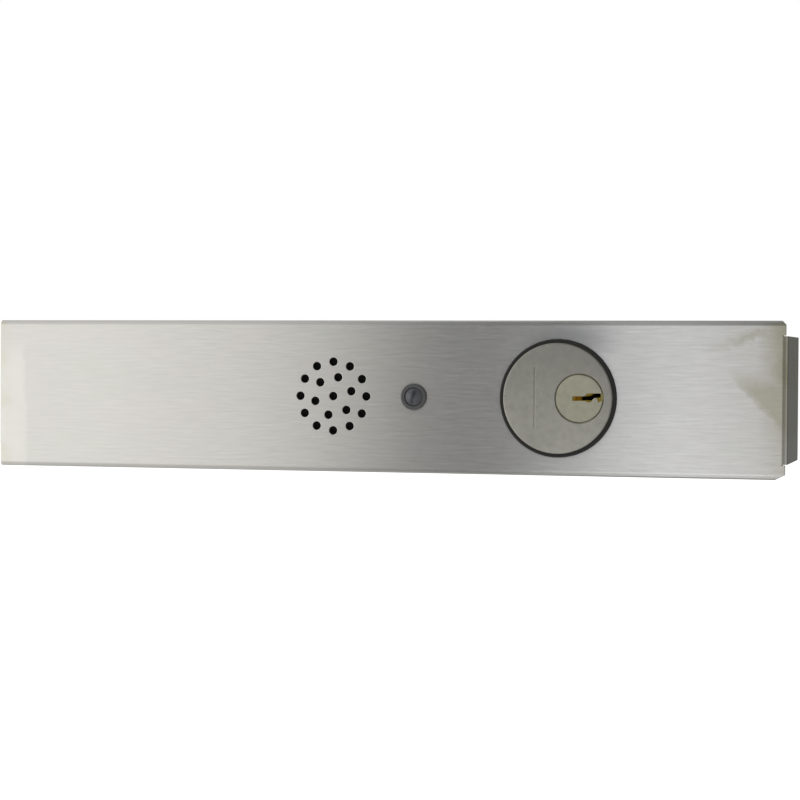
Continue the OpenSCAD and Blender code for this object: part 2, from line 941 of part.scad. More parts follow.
module control_board() {
    color([0.08, 0.32, 0.18]) upright() difference() {
        span([board_left, -board_h / 2, board_z], [board_right, board_h / 2, board_top]);
        at_standoffs() disc(screw_d / 2 + fit, board_z - 1, board_top + 1);
    }
}

module board_standoffs() {
    color(nickel) upright() at_standoffs() difference() {
        union() {
            disc(standoff_r, channel_t, board_z);
            disc(standoff_foot_r, 0.2, channel_t);
        }
        disc(screw_d / 2 + fit, channel_t + 3, board_z + 1);
    }
}

module board_screws() {
    color(nickel) upright() at_standoffs() difference() {
        union() {
            disc(screw_d / 2, board_z - 6, board_top);
            disc(pan_r, board_top, board_top + pan_h);
        }
        translate([0, 0, board_top + pan_h]) cross_recess(recess_w, recess_depth);
    }
}

module relay() {
    color([0.1, 0.2, 0.42]) upright() difference() {
        span([relay_low.x, relay_low.y, board_top + 0.3],
            [relay_high.x, relay_high.y, board_top + relay_h]);
        span([relay_low.x + relay_inset, relay_low.y - 1, board_top - 1],
            [relay_high.x - relay_inset, relay_high.y + 1, board_top + 0.9]);
    }
}

module at_poles() {
    for (k = [0:pole_count - 1]) {
        translate([board_left + 5, (k - (pole_count - 1) / 2) * pole, 0]) children();
    }
}

module terminal_block() {
    half = pole * pole_count / 2;
    color([0.1, 0.42, 0.2]) upright() difference() {
        span([block_low_x, -half, board_top], [block_high_x, half, board_top + block_h]);
        translate([board_left, -half - 1, board_top + block_h - 2])
            rotate([0, -30, 0]) translate([-10, 0, 0]) cube([10, 2 * half + 2, 10]);
        at_poles() {
            disc(1.9, board_top + 6, board_top + 11);
            span([-6, -1.7, board_top + 1.4], [2, 1.7, board_top + 5]);
        }
    }
}

module terminal_screws() {
    color(nickel) upright() at_poles() difference() {
        disc(1.8, board_top + 6, board_top + 8);
        span([-2, -0.25, board_top + 7.3], [2, 0.25, board_top + 9]);
    }
}

module capacitor(r, h) {
    difference() {
        disc(r, board_top, board_top + h);
        ring(r + 1, r - 0.25, board_top + 1.4, board_top + 2);
        disc(r - 0.8, board_top + h - 0.15, board_top + h + 1);
    }
}

module capacitors() {
    color([0.1, 0.12, 0.3]) upright() {
        for (place = large_cap_at) {
            translate(place) capacitor(large_cap.x, large_cap.y);
        }
        translate(small_cap_at) capacitor(small_cap.x, small_cap.y);
    }
}

module chip(len) {
    legs = floor(len / leg_pitch) - 1;
    span([-len / 2, -chip_half_w, board_top + chip_gap],
        [len / 2, chip_half_w, board_top + chip_top]);
    for (k = [0:legs]) {
        x = (k - legs / 2) * leg_pitch;
        span([x - 0.2, -leg_out, board_top], [x + 0.2, leg_out, board_top + 0.4]);
    }
}

module chips() {
    color([0.13, 0.13, 0.14]) upright() {
        for (place = driver_chip_at) {
            translate(place) chip(driver_chip_l);
        }
        translate(timer_chip_at) chip(timer_chip_l);
    }
}

// Plug-in wire housing on the board, its poles in a row along y
module header(poles) {
    half = poles * lead_gap + 0.6;
    span([-2.9, -half - 0.6, board_top], [2.9, half + 0.6, board_top + 6]);
    span([-2.1, -half, board_top + 6], [2.1, half, header_top]);
}

module wire_headers() {
    color(white) upright() {
        translate([header_x, header_y, 0]) header(3);
        translate([header_x, -header_y, 0]) header(3);
        translate([lamp_header_x, lamp_header_y, 0]) rotate([0, 0, 90]) header(2);
    }
}

module switch_wires() {
    y_out = case_in + switch_h + terminal_l / 2;
    tints = [black, [0.7, 0.12, 0.1], white];
    for (s = [0, 1]) {
        for (k = [0:2]) {
            y_end = header_y + (k - 1) * 2 * lead_gap;
            color(tints[k]) upright() mirror([0, s, 0])
                wire([[terminal_v(k), y_out, z_mid + 0.25], [terminal_v(k), y_out, 15],
                    [header_x, y_end, header_top + wire_rise],
                    [header_x, y_end, header_top]],
                    switch_wire_r, [0.36, 0.93, 0.02]);
        }
    }
}

// ---- Nodes ----

front_cover();
base_channel();
cover_screws();
clinch_nuts();
cylinder_collar();
cylinder_body();
cylinder_plug();
key_pins();
driver_pins();
pin_springs();
chamber_cap();
ring_nut();
cylinder_cam();
cam_screws();
switch_plate();
plate_screws();
upper_switch_case();
lower_switch_case();
switch_terminals();
switch_screws();
upper_lever();
lower_lever();
upper_roller();
lower_roller();
upper_plunger();
lower_plunger();
sounder_case();
sounder_disc();
sounder_gasket();
dust_screen();
led_bezel();
led_lens();
led_ring();
control_board();
board_standoffs();
board_screws();
relay();
terminal_block();
terminal_screws();
capacitors();
chips();
wire_headers();
led_wires();
switch_wires();
cable_grommet();
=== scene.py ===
import json
import math

import bpy
from mathutils import Matrix, Vector


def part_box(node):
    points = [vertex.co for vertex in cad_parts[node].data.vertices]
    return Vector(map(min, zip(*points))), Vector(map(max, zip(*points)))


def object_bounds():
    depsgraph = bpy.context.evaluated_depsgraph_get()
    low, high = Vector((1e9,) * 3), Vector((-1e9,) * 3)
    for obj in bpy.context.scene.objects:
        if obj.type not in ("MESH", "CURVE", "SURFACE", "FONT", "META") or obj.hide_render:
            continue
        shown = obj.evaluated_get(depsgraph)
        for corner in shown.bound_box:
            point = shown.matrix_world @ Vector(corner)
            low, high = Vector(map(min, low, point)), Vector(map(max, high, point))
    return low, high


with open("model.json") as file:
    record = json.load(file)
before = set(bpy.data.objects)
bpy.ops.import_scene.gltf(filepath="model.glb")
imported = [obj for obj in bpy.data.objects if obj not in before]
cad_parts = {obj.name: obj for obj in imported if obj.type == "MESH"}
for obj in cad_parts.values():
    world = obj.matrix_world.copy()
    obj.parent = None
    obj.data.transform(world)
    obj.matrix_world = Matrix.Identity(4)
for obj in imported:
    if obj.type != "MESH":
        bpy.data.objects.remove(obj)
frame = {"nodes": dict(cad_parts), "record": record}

cad_lo, cad_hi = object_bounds()
NODES = frame["nodes"]
SLOT_OF = {s["node"]: s["material_slot"] for s in frame["record"]["subparts"]}


def put(tree, kind, inputs=None, **props):
    """A shader node with its properties and inputs set; a socket links, anything else is a value."""
    n = tree.nodes.new(kind)
    for k, v in props.items():
        setattr(n, k, v)
    for k, v in (inputs or {}).items():
        s = n.inputs[k]
        if isinstance(v, bpy.types.NodeSocket):
            tree.links.new(v, s)
        else:
            s.default_value = v
    return n


class Mat:
    """A node material with short names for the nodes it uses most."""

    def __init__(self, name):
        self.mat = bpy.data.materials.new(name)
        self.mat.use_nodes = True
        self.t = self.mat.node_tree
        self.t.nodes.clear()
        self.out = put(self.t, "ShaderNodeOutputMaterial")
        self.pos = put(self.t, "ShaderNodeTexCoord").outputs["Object"]
        geometry = put(self.t, "ShaderNodeNewGeometry")
        self.normal = geometry.outputs["Normal"]
        self.flat = geometry.outputs["True Normal"]
        self.island = geometry.outputs["Random Per Island"]

    def math(self, op, a, b=0.0, clamp=False):
        return put(self.t, "ShaderNodeMath", {0: a, 1: b}, operation=op, use_clamp=clamp).outputs[0]

    def add(self, a, b):
        return self.math("ADD", a, b)

    def sub(self, a, b):
        return self.math("SUBTRACT", a, b)

    def mul(self, a, b):
        return self.math("MULTIPLY", a, b)

    def absolute(self, a):
        return self.math("ABSOLUTE", a)

    def vec(self, op, a, b=(0, 0, 0), out=0):
        return put(self.t, "ShaderNodeVectorMath", {0: a, 1: b}, operation=op).outputs[out]

    def length(self, x, y, z):
        return self.vec("LENGTH", self.join(x, y, z), out=1)

    def split(self, v):
        return put(self.t, "ShaderNodeSeparateXYZ", {0: v}).outputs

    def join(self, x, y, z):
        return put(self.t, "ShaderNodeCombineXYZ", {0: x, 1: y, 2: z}).outputs[0]

    def scaled(self, sx, sy, sz):
        return put(self.t, "ShaderNodeMapping", {"Vector": self.pos, "Scale": (sx, sy, sz)}).outputs[0]

    def noise(self, vector, detail=3.0, rough=0.6, scale=1.0):
        inputs = {"Vector": vector, "Scale": scale, "Detail": detail, "Roughness": rough}
        return put(self.t, "ShaderNodeTexNoise", inputs).outputs[0]

    def grain(self, scale, detail=3.0, rough=0.6):
        """Noise of the same size in every direction; scale is its features to the metre."""
        return self.noise(self.scaled(scale, scale, scale), detail, rough)

    def cells(self, vector, scale=1.0, feature="F1"):
        return put(self.t, "ShaderNodeTexVoronoi", {"Vector": vector, "Scale": scale}, feature=feature)

    def span(self, v, lo, hi, to_lo=0.0, to_hi=1.0, kind="LINEAR"):
        return put(self.t, "ShaderNodeMapRange", {0: v, 1: lo, 2: hi, 3: to_lo, 4: to_hi},
                   interpolation_type=kind, clamp=True).outputs[0]

    def mix(self, f, a, b):
        n = put(self.t, "ShaderNodeMix", data_type="RGBA")
        for k, v in ((0, f), (6, a), (7, b)):
            s = n.inputs[k]
            if isinstance(v, bpy.types.NodeSocket):
                self.t.links.new(v, s)
            else:
                s.default_value = (*v, 1.0) if k > 0 and len(v) == 3 else v
        return n.outputs[2]

    def bump(self, height, strength, distance, normal=None):
        n = put(self.t, "ShaderNodeBump", {"Height": height, "Strength": strength, "Distance": distance})
        if normal is not None:
            self.t.links.new(normal, n.inputs["Normal"])
        return n.outputs[0]

    def rounded(self, radius):
        return put(self.t, "ShaderNodeBevel", {"Radius": radius}, samples=4).outputs[0]

    def edge_wear(self, radius=0.0004):
        """White where the surface bends sharply, from the angle between the rounded and the flat normal."""
        dot = self.vec("DOT_PRODUCT", self.rounded(radius), self.flat, out=1)
        return self.span(dot, 0.98, 0.75)

    def skin(self, **inputs):
        """The finished material; Base_Color and the like name the Principled shader's inputs."""
        keys = {k.replace("_", " "): v for k, v in inputs.items()}
        b = put(self.t, "ShaderNodeBsdfPrincipled", keys)
        self.t.links.new(b.outputs[0], self.out.inputs[0])
        return self.mat


def centre(node):
    """A CAD node's middle, as x and z."""
    lo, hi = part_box(node)
    return (lo.x + hi.x) / 2, (lo.z + hi.z) / 2


def times(colour, k, plus=0.0):
    """A colour k times as bright plus a little, none of it over 1."""
    return tuple(min(1.0, c * k + plus) for c in colour)


# ---- stainless sheet ----

BRUSHED_DARK, BRUSHED_LIGHT, BRUSHED_SOFT = (0.842, 0.824, 0.792), (0.94, 0.925, 0.895), (0.83, 0.815, 0.785)
WIPED_WARM, WIPED_COOL = (0.91, 0.875, 0.865), (0.85, 0.865, 0.815)
HELD_PALE, HELD_RIM = (0.985, 0.97, 0.93), (0.80, 0.77, 0.60)
FILM_AND_SHADE_BROWN, SPECK_BROWN = (0.56, 0.535, 0.375), (0.52, 0.49, 0.39)
EDGE_BRIGHT, AO_SHADE_GREY, CAST_SHADOW_GREY = (0.95, 0.945, 0.93), (0.30, 0.30, 0.29), (0.42, 0.42, 0.41)


def wiping(m, tone, along, z):
    """Faint warm and cool clouds left by wiping."""
    wiped = m.noise(m.join(m.mul(along, 45), m.mul(z, 90), 3.0))
    tone = m.mix(m.span(wiped, 0.52, 0.72, 0.0, 0.55), tone, WIPED_WARM)
    return m.mix(m.span(wiped, 0.46, 0.28, 0.0, 0.55), tone, WIPED_COOL)


def handling(m, tone, x, z):
    """Paler band where a hand holds the plain end, and the yellowed rim beside it."""
    cloud = m.noise(m.scaled(60, 60, 90), 3, 0.55)
    wander = m.mul(m.sub(cloud, 0.5), 0.006)
    band = m.span(m.add(x, wander), cad_lo.x + 0.0086, cad_lo.x + 0.0070)
    band = m.mul(band, m.span(z, 0.017, 0.009))
    tone = m.mix(m.mul(band, m.span(cloud, 0.3, 0.6, 0.55, 0.95)), tone, HELD_PALE)
    rim = m.mul(m.span(x, cad_lo.x + 0.0045, cad_lo.x + 0.0005), m.span(cloud, 0.60, 0.40))
    return m.mix(m.mul(rim, 0.5), tone, HELD_RIM)


def film_and_shade(m, x, z, level, blot, shake):
    """How much film lies at the flanged end: a sharp slanting border, a streak above it, the rest fading;
    the rim at the very end is part film, part painted shade, heavier towards the top.
    """
    # the border passes border_end from the end at height border_z, and (lean_x, lean_z) is its normal
    border_end, border_z, lean_x, lean_z = 0.0127, 0.0039, 0.76, 0.65
    # the streak meets the end at height streak_z and drops by streak_drop for each metre away from it
    streak_z, streak_drop = 0.0211, 0.31
    from_end = m.sub(cad_hi.x, x)
    slant = m.add(m.mul(m.sub(border_end, from_end), lean_x), m.mul(m.sub(z, border_z), lean_z))
    slant = m.add(slant, shake)
    film = m.mul(m.span(slant, -0.0005, 0.0012), m.span(m.add(z, shake), 0.0090, 0.0025))
    border = m.mul(m.span(m.absolute(slant), 0.0010, 0.0), m.span(z, 0.009, 0.004))
    off_streak = m.add(m.sub(z, streak_z), m.mul(from_end, streak_drop))
    off_streak = m.add(off_streak, m.mul(shake, 1.2))
    streak = m.mul(m.span(m.absolute(off_streak), 0.0018, 0.0002), m.span(from_end, 0.024, 0.012))
    streak = m.mul(streak, m.span(from_end, 0.001, 0.006))
    # the rim is part film, part painted shade that grows heavier towards the top of the end
    rim = m.mul(m.span(from_end, 0.0085, 0.0012), m.span(blot, 0.25, 0.6, 0.6, 1.0))
    rim = m.mul(rim, m.span(z, -0.014, 0.006, 0.45, 1.45))
    cover = m.add(m.mul(film, 0.62), m.mul(streak, 0.42))
    cover = m.add(cover, m.mul(border, 0.18))
    cover = m.math("MAXIMUM", cover, m.mul(rim, 0.60), clamp=True)
    return m.mul(cover, m.span(level, 0.9, 0.5))


def specks(m, tone, shake):
    """Scattered pale brown specks."""
    cell = m.cells(m.scaled(1, 1, 1), 42.0)
    dot = m.span(m.add(cell.outputs["Distance"], m.mul(shake, 14.0)), 0.060, 0.015)
    chosen = m.math("GREATER_THAN", m.split(cell.outputs["Color"])[0], 0.5)
    return m.mix(m.mul(m.mul(dot, chosen), 0.32), tone, SPECK_BROWN)


def painted_collar_shade(m, tone, x, z):
    """Painted shade in a dull ring against the collar and the lamp, and a painted shadow above the cylinder.
    """
    shadow_x, shadow_z, shadow_w, shadow_h = 0.003, 0.0165, 0.018, 0.0080
    # painted shade: darker where ambient occlusion finds the collar and the lamp close by
    open_sky = put(m.t, "ShaderNodeAmbientOcclusion", {"Distance": 0.005}, samples=6).outputs["AO"]
    tone = m.mix(m.span(open_sky, 0.95, 0.55, 0.0, 0.45), tone, AO_SHADE_GREY)
    # painted shadow: a soft dark patch above and to the right of the cylinder head
    cx, cz = centre("cylinder_collar")
    u = m.math("DIVIDE", m.sub(x, cx + shadow_x), shadow_w)
    v = m.math("DIVIDE", m.sub(z, cz + shadow_z), shadow_h)
    cast_shadow = m.span(m.length(u, v, 0.0), 1.0, 0.15, kind="SMOOTHSTEP")
    return m.mix(m.mul(cast_shadow, 0.70), tone, CAST_SHADOW_GREY)


def stainless():
    """Satin sheet brushed along its length, with the light smears and specks of a handled part, and painted
    shade about the cylinder and at the flanged end.
    """
    m = Mat("stainless")
    x, y, z = m.split(m.pos)[0:3]
    level = m.absolute(m.split(m.flat)[2])
    along = m.sub(x, y)
    across_y = m.mul(y, level)

    def brushing(length, width, detail):
        v = m.join(m.mul(along, 1 / length), m.mul(z, 1 / width), m.mul(across_y, 1 / width))
        return m.noise(v, detail, 0.6)

    long_grain = brushing(0.009, 0.00065, 4)
    fine_grain = brushing(0.005, 0.00013, 3)
    soft = brushing(0.035, 0.007, 2)
    # the streaks show less towards the plain end, where the face mirrors an even wall
    depth = m.math("MAXIMUM", m.span(x, -0.10, 0.02, 0.45, 1.0), m.span(level, 0.5, 0.9))
    streaks = m.mul(m.sub(m.span(long_grain, 0.33, 0.67), 0.5), depth)
    tone = m.mix(m.add(streaks, 0.5), BRUSHED_DARK, BRUSHED_LIGHT)
    tone = m.mix(m.mul(m.span(soft, 0.35, 0.75), 0.3), tone, BRUSHED_SOFT)
    tone = handling(m, wiping(m, tone, along, z), x, z)
    # shake roughens the outlines of the film and the specks
    blot = m.grain(170)
    crumb = m.noise(m.scaled(700, 300, 700), 2)
    shake = m.add(m.mul(m.sub(blot, 0.5), 0.0045), m.mul(m.sub(crumb, 0.5), 0.0014))
    # film at the flanged end, with painted shade in its rim
    stain_and_shade = film_and_shade(m, x, z, level, blot, shake)
    tone = specks(m, m.mix(stain_and_shade, tone, FILM_AND_SHADE_BROWN), shake)
    tone = m.mix(m.mul(m.edge_wear(), 0.5), tone, EDGE_BRIGHT)
    # painted shade round the collar and lamp, and a painted shadow above the cylinder
    tone = painted_collar_shade(m, tone, x, z)
    rough = m.add(m.span(fine_grain, 0.3, 0.7, 0.17, 0.23), m.mul(stain_and_shade, 0.06))
    cross = m.vec("CROSS_PRODUCT", m.normal, (1, 0, 0))
    tangent = m.vec("NORMALIZE", m.vec("ADD", cross, (0, 0, 0.001)))
    height = m.add(fine_grain, m.mul(long_grain, 0.6))
    sway = m.noise(m.scaled(16, 4, 10), 1, 0.4)
    normal = m.bump(height, 0.09, 0.00004, m.rounded(0.00025))
    normal = m.bump(sway, 0.10, 0.002, normal)
    return m.skin(Base_Color=tone, Metallic=1.0, Roughness=rough, Anisotropic=0.9, Tangent=tangent,
                  Normal=normal)


# ---- other metals ----

def plated(name, dark, light, rough=(0.22, 0.38), mottle=500, bevel=0.0002, turned_about=None):
    """Plated or bare metal with a fine mottle, handling marks, brighter edges and, if asked, lathe rings and
    painted shade darkening the turned face towards its top.
    """
    m = Mat(name)
    a = m.grain(mottle, 3, 0.55)
    b = m.grain(70, 3, 0.5)
    tone = m.mix(m.span(a, 0.3, 0.7), dark, light)
    tone = m.mix(m.mul(m.span(b, 0.45, 0.7), 0.3), tone, times(dark, 0.72))
    tone = m.mix(m.mul(m.edge_wear(bevel * 2), 0.6), tone, times(light, 1.18))
    height = a
    if turned_about:
        cx, cz = turned_about
        rings = 2600
        x, y, z = m.split(m.pos)[0:3]
        # painted shade: the turned face grows darker towards its top
        tone = m.mix(m.span(z, cz - 0.015, cz + 0.012, 0.0, 0.58), tone, times(dark, 0.55))
        r = m.length(m.sub(x, cx), 0.0, m.sub(z, cz))
        turned = m.noise(m.join(m.mul(r, rings), 0.0, m.mul(y, rings)), 1, 0.5)
        height = m.add(m.mul(a, 0.4), m.mul(turned, 0.5))
    normal = m.bump(height, 0.08, 0.00004, m.rounded(bevel))
    return m.skin(Base_Color=tone, Metallic=1.0, Roughness=m.span(a, 0.3, 0.7, *rough), Normal=normal)


def galvanised():
    """Zinc-coated sheet with its frost-like spangle."""
    m = Mat("galvanised")
    wander = m.grain(220)
    spangle = m.cells(m.vec("ADD", m.scaled(290, 290, 290), m.join(wander, wander, wander)))
    shade = m.split(spangle.outputs["Color"])[0]
    tone = m.mix(shade, (0.58, 0.60, 0.61), (0.70, 0.72, 0.73))
    white = m.grain(40, 4, 0.65)
    tone = m.mix(m.mul(m.span(white, 0.52, 0.75), 0.35), tone, (0.74, 0.74, 0.73))
    tone = m.mix(m.mul(m.edge_wear(), 0.5), tone, (0.80, 0.81, 0.82))
    rough = m.span(shade, 0.0, 1.0, 0.34, 0.52)
    normal = m.bump(shade, 0.05, 0.0001, m.rounded(0.0002))
    return m.skin(Base_Color=tone, Metallic=0.75, Roughness=rough, Normal=normal)


def plug_metal():
    """Nickel-silver face, dull brass in the notch and olive brass inside the keyway, with painted shade
    deeper in.
    """
    m = Mat("plug_metal")
    y = m.split(m.pos)[1]
    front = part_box("cylinder_plug")[0].y
    notch_back = (front + 0.0010, front + 0.0018)
    inside = m.span(y, front + 0.00030, front + 0.0008)
    a = m.grain(420, 4)
    mottle = m.span(a, 0.3, 0.7)
    face = m.mix(mottle, (0.525, 0.507, 0.392), (0.645, 0.627, 0.502))
    worn = m.mix(mottle, (0.24, 0.215, 0.065), (0.34, 0.30, 0.11))
    cut = m.mix(mottle, (0.40, 0.345, 0.10), (0.50, 0.43, 0.16))
    brass = m.mix(m.span(y, *notch_back), worn, cut)
    # painted shade: the brass darkens deeper inside the keyway
    brass = m.mix(m.span(y, front + 0.008, front + 0.020), brass, (0.10, 0.055, 0.015))
    tone = m.mix(inside, face, brass)
    metal = m.span(inside, 0.0, 1.0, 1.0, 0.25)
    # a faint glow stands for the light that bounces between the close walls near the mouth
    mouth = m.mul(m.span(y, *notch_back), m.span(y, front + 0.013, front + 0.007))
    glow = m.mul(mouth, 0.75)
    normal = m.bump(a, 0.15, 0.00004, m.rounded(0.00012))
    return m.skin(Base_Color=tone, Metallic=metal, Emission_Color=(0.135, 0.100, 0.018, 1),
                  Emission_Strength=glow, Roughness=m.span(a, 0.3, 0.7, 0.30, 0.44), Normal=normal)


# ---- plastics, cloth, board and wires ----

def moulded(name, dark, light, rough=(0.42, 0.6), texture=1500, coat=0.0, bevel=0.0002):
    """Moulded plastic or rubber: fine spark texture, faint flow marks and polished edges."""
    m = Mat(name)
    a = m.grain(texture)
    b = m.noise(m.scaled(110, 60, 110), 3, 0.5)
    tone = m.mix(m.span(b, 0.35, 0.7), dark, light)
    tone = m.mix(m.mul(m.edge_wear(bevel * 2), 0.45), tone, times(light, 1.5, 0.02))
    normal = m.bump(a, 0.2, 0.00005, m.rounded(bevel))
    return m.skin(Base_Color=tone, Roughness=m.span(b, 0.3, 0.7, *rough), Coat_Weight=coat,
                  Coat_Roughness=0.12, Normal=normal)


def lens_plastic():
    """Grey-blue lamp lens: a darker rim, the dark sliver of the chip carrier behind the dome, a glint."""
    m = Mat("lens_plastic")
    lo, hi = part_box("led_lens")
    cx, cz = centre("led_lens")
    radius = (hi.x - lo.x) / 2
    x, _, z = m.split(m.pos)[0:3]
    u = m.math("DIVIDE", m.sub(x, cx), radius)
    v = m.math("DIVIDE", m.sub(z, cz), radius)
    tone = m.mix(m.span(m.length(u, v, 0.0), 0.35, 1.0), (0.054, 0.056, 0.068), (0.050, 0.051, 0.054))
    slant = m.add(m.add(u, 0.05), m.mul(v, -0.25))
    bar = m.mul(m.span(m.absolute(slant), 0.34, 0.06), m.span(m.absolute(m.add(v, 0.06)), 0.90, 0.50))
    tone = m.mix(m.mul(bar, 0.95), tone, (0.008, 0.009, 0.013))
    glint = m.span(m.length(m.add(u, 0.52), m.mul(m.sub(v, 0.1), 0.6), 0.0), 0.32, 0.04)
    tone = m.mix(m.mul(glint, 0.25), tone, (0.15, 0.155, 0.18))
    haze = m.grain(900)
    return m.skin(Base_Color=tone, Roughness=m.span(haze, 0.3, 0.7, 0.22, 0.34), Coat_Weight=0.6,
                  Coat_Roughness=0.08, Normal=m.bump(haze, 0.05, 0.00005))


def mesh_cloth():
    """Fine black woven screen, 0.6 mm from thread to thread."""
    m = Mat("mesh_cloth")
    x, _, z = m.split(m.pos)[0:3]
    turns = 2 * math.pi / 0.0006
    weave = m.mul(m.math("SINE", m.mul(x, turns)), m.math("SINE", m.mul(z, turns)))
    tone = m.mix(m.span(weave, -1, 1), (0.002, 0.002, 0.002), (0.008, 0.008, 0.008))
    return m.skin(Base_Color=tone, Roughness=0.9, Specular_IOR_Level=0.2, Normal=m.bump(weave, 0.5, 0.0001))


def board_mask():
    """Green solder mask with the paler lines of copper tracks beneath it."""
    m = Mat("board_mask")
    x, _, z = m.split(m.pos)[0:3]
    cells = m.cells(m.scaled(260, 1, 260), feature="DISTANCE_TO_EDGE")
    step, tracks_per_metre = 0.0022, 380
    square = m.join(m.math("SNAP", x, step), m.math("SNAP", z, step), 0.0)
    hop = m.noise(square, 0, 0.5, scale=300.0)
    row = m.math("FRACT", m.mul(m.add(z, m.mul(hop, 0.004)), tracks_per_metre))
    track = m.math("LESS_THAN", m.absolute(m.sub(row, 0.5)), 0.14)
    tone = m.mix(track, (0.012, 0.10, 0.045), (0.03, 0.19, 0.085))
    dots = m.span(cells.outputs[0], 0.02, 0.05)
    normal = m.bump(m.add(track, m.mul(dots, 0.1)), 0.3, 0.00004, m.rounded(0.0001))
    return m.skin(Base_Color=tone, Roughness=0.34, Coat_Weight=0.4, Coat_Roughness=0.2, Normal=normal)


def insulation(name, colours):
    """Glossy wire insulation, one colour for each loose wire."""
    m = Mat(name)
    ramp = put(m.t, "ShaderNodeValToRGB", {0: m.island})
    ramp.color_ramp.interpolation = "CONSTANT"
    for i, c in enumerate(colours):
        e = ramp.color_ramp.elements[i] if i < 2 else ramp.color_ramp.elements.new(i / len(colours))
        e.position = i / len(colours)
        e.color = (*c, 1)
    a = m.grain(500, 3, 0.5)
    tone = m.mix(m.mul(m.span(a, 0.4, 0.7), 0.25), ramp.outputs[0], (0.02, 0.02, 0.02))
    return m.skin(Base_Color=tone, Roughness=m.span(a, 0.3, 0.7, 0.28, 0.42), Normal=m.bump(a, 0.1, 0.00005))


WIRE_COLOURS = [(0.02, 0.02, 0.02), (0.45, 0.02, 0.015), (0.7, 0.68, 0.62), (0.5, 0.36, 0.03),
                (0.03, 0.12, 0.4), (0.04, 0.25, 0.08)]
MATS = {
    "stainless": stainless(),
    "galvanised": galvanised(),
    "satin_nickel": plated("satin_nickel", (0.555, 0.542, 0.488), (0.655, 0.642, 0.58), (0.26, 0.36),
                           turned_about=centre("cylinder_collar")),
    "screw_zinc": plated("screw_zinc", (0.60, 0.62, 0.64), (0.76, 0.78, 0.80)),
    "brass": plated("brass_metal", (0.62, 0.44, 0.17), (0.80, 0.60, 0.27), (0.25, 0.42)),
    "spring_steel": plated("spring_steel", (0.52, 0.52, 0.52), (0.68, 0.68, 0.67), (0.18, 0.3), mottle=900),
    "black_rubber": moulded("black_rubber", (0.007, 0.007, 0.006), (0.012, 0.012, 0.011), (0.5, 0.7)),
    "black_plastic": moulded("black_plastic", (0.018, 0.018, 0.019), (0.03, 0.03, 0.032), (0.35, 0.5),
                             coat=0.2),
    "dark_foam": moulded("dark_foam", (0.02, 0.02, 0.022), (0.05, 0.05, 0.052), (0.8, 0.95), texture=2600),
    "mesh": mesh_cloth(),
    "lens": lens_plastic(),
    "board": board_mask(),
    "white_nylon": moulded("white_nylon", (0.66, 0.64, 0.57), (0.78, 0.77, 0.70)),
    "red_plastic": moulded("red_plastic", (0.36, 0.03, 0.02), (0.5, 0.05, 0.03), coat=0.3),
    "green_plastic": moulded("green_plastic", (0.02, 0.18, 0.06), (0.035, 0.26, 0.09)),
    "relay_blue": moulded("relay_blue", (0.02, 0.06, 0.22), (0.03, 0.09, 0.30)),
    "sleeve_blue": moulded("sleeve_blue", (0.01, 0.015, 0.06), (0.02, 0.028, 0.10), (0.25, 0.4), coat=0.5),
    "chip_black": moulded("chip_black", (0.012, 0.012, 0.013), (0.022, 0.022, 0.023), (0.5, 0.65)),
    "wire_cover": insulation("wire_cover", WIRE_COLOURS),
    "plug": plug_metal(),
    "bezel": moulded("bezel_plastic", (0.044, 0.044, 0.045), (0.062, 0.062, 0.064), (0.3, 0.42), coat=0.2),
}
OWN_MATERIAL = {"cylinder_plug": "plug", "led_bezel": "bezel"}

for name, obj in NODES.items():
    obj.data.materials.clear()
    obj.data.materials.append(MATS[OWN_MATERIAL.get(name, SLOT_OF[name])])

# ---- world and lights ----

WARM, PLAIN, COOL = (1.0, 0.995, 0.97), (1.0, 1.005, 0.995), (1.0, 1.022, 1.06)
# a wide pale wall, a dark gap, a narrow cool card and dim sides, whose mirror images shade the face;
# each row: azimuth in degrees from -Y towards +X, brightness there above and below eye level, tint
ROOM = [
    (-180, 0.17, 0.17, WARM), (-170, 0.25, 0.25, WARM), (-160, 0.55, 0.55, WARM), (-135, 0.8, 0.8, WARM),
    (-60, 0.8, 0.8, WARM), (-30, 0.86, 0.86, WARM), (-25.6, 0.86, 0.86, WARM), (-22, 0.80, 0.80, WARM),
    (-20, 0.73, 0.74, WARM), (-18, 0.64, 0.64, WARM), (-16.5, 0.45, 0.45, WARM), (-15.2, 0.28, 0.28, WARM),
    (-14, 0.13, 0.135, PLAIN), (-12.5, 0.04, 0.06, PLAIN), (-11.4, 0.07, 0.29, COOL),
    (-10.4, 0.36, 0.84, COOL), (-9.4, 0.59, 1.18, COOL), (-8.5, 0.50, 1.14, COOL), (-7.6, 0.38, 1.05, COOL),
    (-6.4, 0.245, 0.99, WARM), (-5.2, 0.15, 0.87, WARM), (-4, 0.14, 0.74, WARM), (0, 0.22, 0.40, WARM),
    (30, 0.20, 0.22, WARM), (45, 0.28, 0.28, WARM), (72, 0.28, 0.28, WARM), (82, 0.46, 0.46, WARM),
    (98, 0.46, 0.46, WARM), (110, 0.22, 0.22, WARM), (148, 0.10, 0.10, WARM), (168, 0.10, 0.10, WARM),
    (180, 0.17, 0.17, WARM)]
# ceiling and ground colours, and how much of the wall's light is mixed into each
OVERHEAD, OVERHEAD_WALL = (0.24, 0.25, 0.25, 1), 0.62
UNDERFOOT, UNDERFOOT_WALL = (0.17, 0.17, 0.165, 1), 0.55


